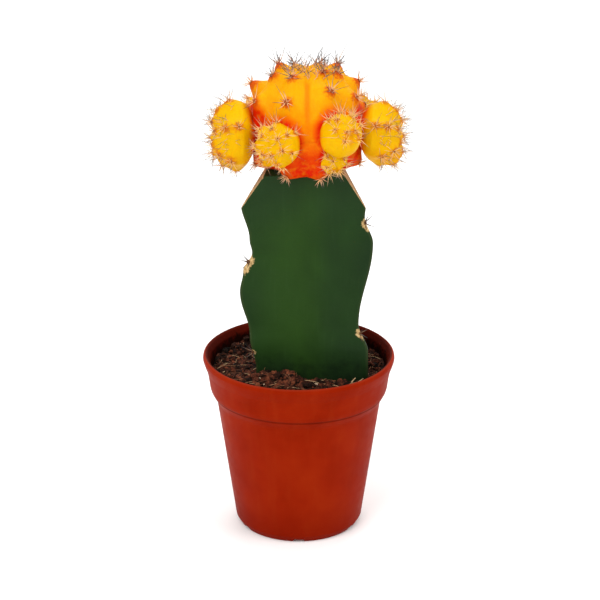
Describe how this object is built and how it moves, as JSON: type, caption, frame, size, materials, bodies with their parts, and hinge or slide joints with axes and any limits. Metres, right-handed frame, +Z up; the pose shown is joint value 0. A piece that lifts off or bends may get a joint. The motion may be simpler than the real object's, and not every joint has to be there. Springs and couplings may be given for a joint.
{
  "type": "potted moon cactus",
  "caption": "Grafted moon cactus: ribbed orange ball with yellow offsets on a three-ribbed green rootstock, in a round plastic nursery pot.",
  "frame": {"origin": "middle of the pot's flat underside", "axes": "+Z up through the pot and the plant; -Y out of the rootstock's flat front face, between two of its three ribs"},
  "size_m": [0.0592, 0.0552, 0.1439],
  "materials": {
    "pot_plastic": "satin",
    "potting_mix": "matte",
    "rootstock_skin": "satin",
    "scion_flesh": "satin",
    "offset_flesh": "satin"
  },
  "bodies": {
    "root": {"pot": "pot_plastic", "soil": "potting_mix", "rootstock": "rootstock_skin", "scion": "scion_flesh", "offset_front_left": "offset_flesh", "offset_front_right": "offset_flesh", "offset_left": "offset_flesh", "offset_right": "offset_flesh", "offset_low_front": "offset_flesh", "offset_back_right": "offset_flesh", "offset_back_left": "offset_flesh", "offset_back": "offset_flesh"}
  },
  "joints": []
}
